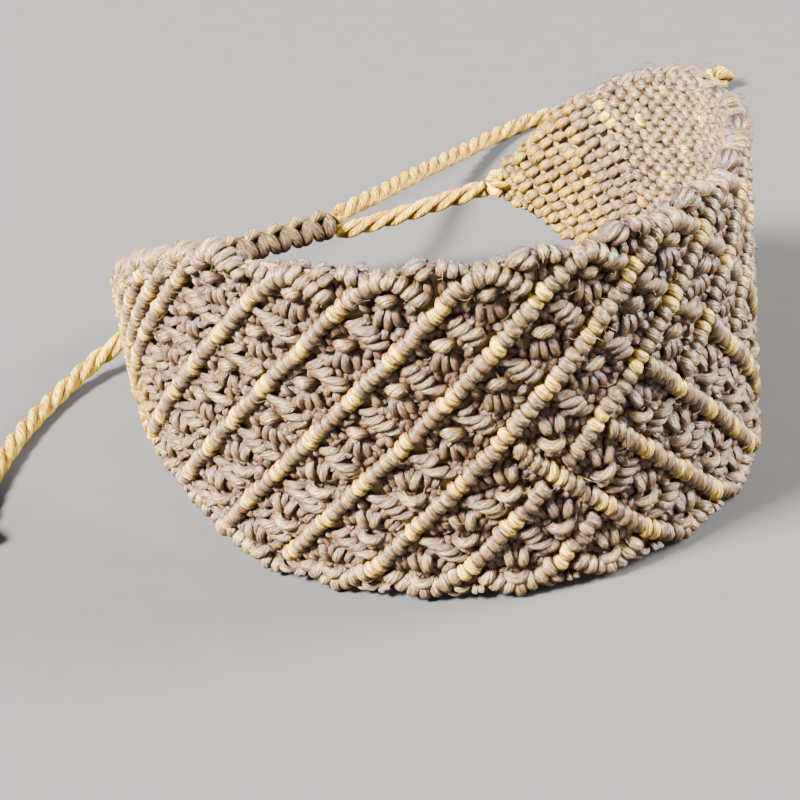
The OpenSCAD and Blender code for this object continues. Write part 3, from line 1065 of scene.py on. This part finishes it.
# %% Inner wall
CORE_FRONT, CORE_BACK, CORE_MARGIN = -1.42, -1.8, 0.9
CORE_STEPS, CORE_ROWS = 200, 14


def speckled_material(name, dark, light, roughness, bump_depth=0.0, **noise):
    """A dull surface whose colour wanders between two near tones."""
    material, shader, node = new_material(name)
    where = node("ShaderNodeTexCoord").outputs["Object"]
    grain = node("ShaderNodeTexNoise", {"Vector": where, **noise}).outputs["Fac"]
    tint = node("ShaderNodeValToRGB", {"Fac": grain})
    tint.color_ramp.elements[0].color = colour(*dark)
    tint.color_ramp.elements[1].color = colour(*light)
    material.node_tree.links.new(tint.outputs["Color"], shader.inputs["Base Color"])
    shader.inputs["Roughness"].default_value = roughness
    if bump_depth:
        bump = node("ShaderNodeBump", {"Height": grain, "Distance": bump_depth * MM})
        material.node_tree.links.new(bump.outputs[0], shader.inputs["Normal"])
    return material


def add_core():
    """The wall, from rings of points that run up its front and down its back."""
    points = []
    for u in np.linspace(-TIP_AT + 0.5, TIP_AT - 0.5, CORE_STEPS):
        heights = np.linspace(low_at(u) + CORE_MARGIN, high_at(u) - CORE_MARGIN, CORE_ROWS)
        points += [(u, z, CORE_FRONT) for z in heights] + [(u, z, CORE_BACK) for z in heights[::-1]]
    space, _, _ = bend(points)
    ring = 2 * CORE_ROWS
    faces = []
    for a in range(0, len(points) - ring, ring):
        for j in range(ring):
            i = (j + 1) % ring
            faces.append((a + j, a + ring + j, a + ring + i, a + i))
    faces.append(tuple(range(ring)))
    faces.append(tuple(range(len(points) - ring, len(points)))[::-1])
    mesh = bpy.data.meshes.new("inner_wall")
    mesh.from_pydata([tuple(p * MM) for p in space], [], faces)
    # The wall's dark browns are painted shade: the same taupe thread as the net, deep in the band.
    mesh.materials.append(speckled_material("shaded_thread", (84, 63, 36), (114, 89, 52), 0.8,
                                            bump_depth=0.2, Scale=1800))
    return add_object("inner_wall", mesh)


core = add_core()
print("the inner wall has", len(core.data.polygons), "faces")

# %% [markdown]
# Now every bundle of the net is spun into one piece. Threads that are seen closely get nine or ten
# sides. Those of the inner face get seven, those that hide under others six and the fibres four,
# because the whole bracelet has to stay under a million triangles.

# %% Spin the net
ridges_up = spin("rising_ridges", rising_ridges, net_thread, sides=9, spacing=0.34, flatness=FLAT)
ridges_down = spin("falling_ridges", falling_ridges, net_thread, sides=9, spacing=0.34, flatness=FLAT)
pairs = spin("cream_pairs", cream_pairs, net_thread, sides=10, spacing=0.3, flatness=FLAT)
edges = spin("edge_ridges", edge_ridges, net_thread, sides=10, spacing=0.38)
ends = spin("end_rows", end_rows, net_thread, sides=9, spacing=0.34, flatness=FLAT)
knots = spin("square_knots", square_knots, net_thread, sides=9, spacing=0.36)
under = spin("threads_under_the_knots", fillers, net_thread, sides=6, spacing=0.4)
fibres = spin("loose_fibres", loose_fibres, net_thread, sides=4, spacing=0.25, flatness=1.0)
backs = spin("inner_face_bumps", back_bumps, net_thread, sides=7, spacing=0.42)

# %% [markdown]
# The sliding knot is a short braid of square knots round both cords. Each square knot shows as two
# slanted turns that cross at the sides, with a short paler thread over them. It could be a textured
# tube, but its outline is the bumps of its turns, so each turn is a thread like those of the net.

# %% The sliding knot
SLIDER_KNOTS = 6
SLIDER_DEEP, SLIDER_HIGH = 1.15, 0.85
TURN_THICK, OVER_THICK, INNER_THICK = 0.66, 0.68, 0.8
slider_strands = Strands()


def add_slider():
    """The turns of the braid, the paler threads over them and the two cords inside."""
    axis = SLIDER_RIGHT - SLIDER_LEFT
    way = unit(axis)
    side, up = across_from(way)
    angle = np.linspace(-math.pi, math.pi, 19)
    step = np.linalg.norm(axis) / (2 * SLIDER_KNOTS)
    for k in range(2 * SLIDER_KNOTS):
        centre = SLIDER_LEFT + way * (k + 0.5) * step
        lean = 0.3 if k % 2 else -0.3
        across = np.cos(angle)[:, None] * side * SLIDER_DEEP + np.sin(angle)[:, None] * up * SLIDER_HIGH
        points = centre + across + np.outer(np.sin(angle) * lean + 0.15 * np.cos(angle), way)
        # The depth number grows towards the under side of each turn, so the turns are painted in shade
        # below.
        slider_strands.lay(points, unit(across), TURN_THICK, tone=chance.uniform(0.0, 0.25),
                           depth_shade=0.5 - 0.25 * np.sin(angle))
    over = np.linspace(-1, 1, 9)[:, None]
    for k in range(SLIDER_KNOTS):
        centre = SLIDER_LEFT + way * (2 * k + 1) * step
        points = centre + over * (0.95 * way - 0.45 * side) + (1.5 - 0.5 * over ** 2) * up
        slider_strands.lay(points, up, OVER_THICK * (1 - 0.5 * over[:, 0] ** 2),
                           tone=chance.uniform(0.6, 1.0))
    # The two cords inside the braid are painted nearly in full shade.
    for shift in (-0.5, 0.5):
        ends = [SLIDER_LEFT + side * shift, SLIDER_LEFT + side * shift + axis]
        slider_strands.lay(np.linspace(*ends, 12), up, INNER_THICK, tone=0.3, depth_shade=0.9)
    return spin("slider_knot_turns", slider_strands, slider_thread, sides=8, spacing=0.45)


slider = add_slider()

# %% [markdown]
# The knots at the points of the band and at the ends of the loose cords are small overhand knots.
# Such a knot, pulled tight and closed, is a trefoil, and a trefoil has a short formula, so no points
# have to be placed by hand.

# %% Overhand knots
END_KNOT = dict(length=4.2, width=3.2, thick=0.72, tone=0.4)
TIP_KNOT = dict(length=3.1, width=3.3, thick=0.62, tone=0.8)
KNOT_RISE = 2.4


def overhand(name, centre, way, length, width, thick, tone):
    """A closed trefoil of cord, as long as length along way and as wide as width."""
    way = unit(np.asarray(way, float))
    side, up = across_from(way)
    t = np.linspace(0, 2 * math.pi, 40)
    a = (2 + np.cos(3 * t)) * np.cos(2 * t) / 3
    b = (2 + np.cos(3 * t)) * np.sin(2 * t) / 3
    c = np.sin(3 * t) / 3
    room = width / 2 - thick
    points = (np.asarray(centre) + np.outer(a * (length / 2 - thick), way) + np.outer(b * room, side)
              + np.outer(c * room * KNOT_RISE, up))
    strands = Strands()
    strands.lay(points, up, thick, tone)
    return spin(name, strands, cord_thread, sides=9, spacing=0.4)


def end_knot(name, route):
    """The knot that ends a loose cord, lying on the table."""
    last, before = np.array(route[-1], float), np.array(route[-2], float)
    way = unit((last - before) * (1, 1, 0))
    return overhand(name, (last[0], last[1], END_KNOT["width"] / 2) + way * END_KNOT["length"] / 2, way,
                    **END_KNOT)


def tip_knot(name, hand, route):
    """The knot between a point of the band and its closing cord."""
    start = bend([(hand * (TIP_AT + 0.4), float(middle_at(TIP_AT)), -WALL / 2)])[0][0]
    way = np.array(route[0]) - start
    return overhand(name, start + way * 0.47, way, **TIP_KNOT)


left_end = end_knot("left_end_knot_tied", LEFT_TAIL)
right_end = end_knot("right_end_knot_tied", RIGHT_TAIL)
left_tip = tip_knot("left_tip_knot_tied", -1, LEFT_CLOSING)
right_tip = tip_knot("right_tip_knot_tied", 1, RIGHT_CLOSING)

# %% [markdown]
# Every piece now joins the frame: it rides on the one body, and the solids that it stands for are
# hidden. Each row also gives the record's slot for its finish, which the loop does not use. The
# lengths of the two loose cords are printed.

# %% Join the frame
for piece, slot, nodes in (
    (ridges_up, "taupe_thread", ("cuff_band",)),
    (ridges_down, "taupe_thread", ("cuff_band",)),
    (pairs, "cream_thread", ("cuff_band",)),
    (edges, "taupe_thread", ("cuff_band", "left_end_panel", "right_end_panel")),
    (ends, "cream_thread", ("left_end_panel", "right_end_panel")),
    (knots, "taupe_thread", ("cuff_band",)),
    (under, "taupe_thread", ("cuff_band",)),
    (backs, "taupe_thread", ("cuff_band",)),
    (fibres, "taupe_thread", ("cuff_band",)),
    (core, "taupe_thread", ("cuff_band",)),
    (slider, "dark_thread", ("slider_knot",)),
    (left_tip, "cream_thread", ("left_tip_knot",)),
    (right_tip, "cream_thread", ("right_tip_knot",)),
    (left_closing, "cream_cord", ("left_closing_cord",)),
    (right_closing, "cream_cord", ("right_closing_cord",)),
    (left_tail, "cream_cord", ("left_tail_cord",)),
    (right_tail, "cream_cord", ("right_tail_cord",)),
    (left_end, "cream_cord", ("left_end_knot",)),
    (right_end, "cream_cord", ("right_end_knot",)),
):
    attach(piece, BODY)
    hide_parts(*nodes)


def route_length(path):
    """The length of a path through its points."""
    return float(np.linalg.norm(np.diff(path, axis=0), axis=1).sum())


for tail, path, knot in ((left_tail, left_tail_path, left_end), (right_tail, right_tail_path, right_end)):
    print(tail.name, "is", round(route_length(path) / MM, 1), "mm long")

# %% [markdown]
# The bracelet stands on a plain floor under three soft lamps: a small, strong one at the left, like a
# near window, a larger one at the right, and a faint one in front, with an even light from the sky.
# The side light is what brings out every turn of thread. The lamps are strong, so the floor's colour
# is a dark grey, and it still looks pale.

# %% Floor and lights
FLOOR_REACH = 3.0
LAMPS_AIM = Vector((0, 0, 0.015))
SKY_COLOUR, SKY_STRENGTH = (0.95, 0.97, 1.0, 1), 1.05


def add_floor():
    """A plain square of floor, which belongs to the stage and not to the bracelet."""
    mesh = bpy.data.meshes.new("floor")
    corners = [(x * FLOOR_REACH, y * FLOOR_REACH, 0) for x, y in ((-1, -1), (1, -1), (1, 1), (-1, 1))]
    mesh.from_pydata(corners, [], [(0, 1, 2, 3)])
    mesh.materials.append(speckled_material("floor", (33, 33, 34), (40, 39, 39), 0.9, Scale=300, Detail=6))
    floor = add_object("floor", mesh)


def add_lamp(name, place, size, power, tint):
    """A square lamp that points at the bracelet."""
    data = bpy.data.lights.new(name, "AREA")
    data.size = size
    data.energy = power
    data.color = tint
    lamp = add_object(name, data)
    lamp.location = place
    lamp.rotation_euler = (LAMPS_AIM - Vector(place)).to_track_quat("-Z", "Y").to_euler()


add_floor()
add_lamp("window", (-0.62, 0.07, 0.60), 0.22, 208.0, (1.0, 0.96, 0.91))
add_lamp("fill", (0.76, -0.40, 0.42), 0.4, 116.0, (1.0, 0.97, 0.93))
add_lamp("front", (0.12, -0.62, 0.74), 0.4, 6.0, (1.0, 0.97, 0.93))
world = bpy.data.worlds.new("sky")
world.use_nodes = True
world.node_tree.nodes["Background"].inputs["Color"].default_value = SKY_COLOUR
world.node_tree.nodes["Background"].inputs["Strength"].default_value = SKY_STRENGTH
bpy.context.scene.world = world
print("lamps:", len(bpy.data.lights))
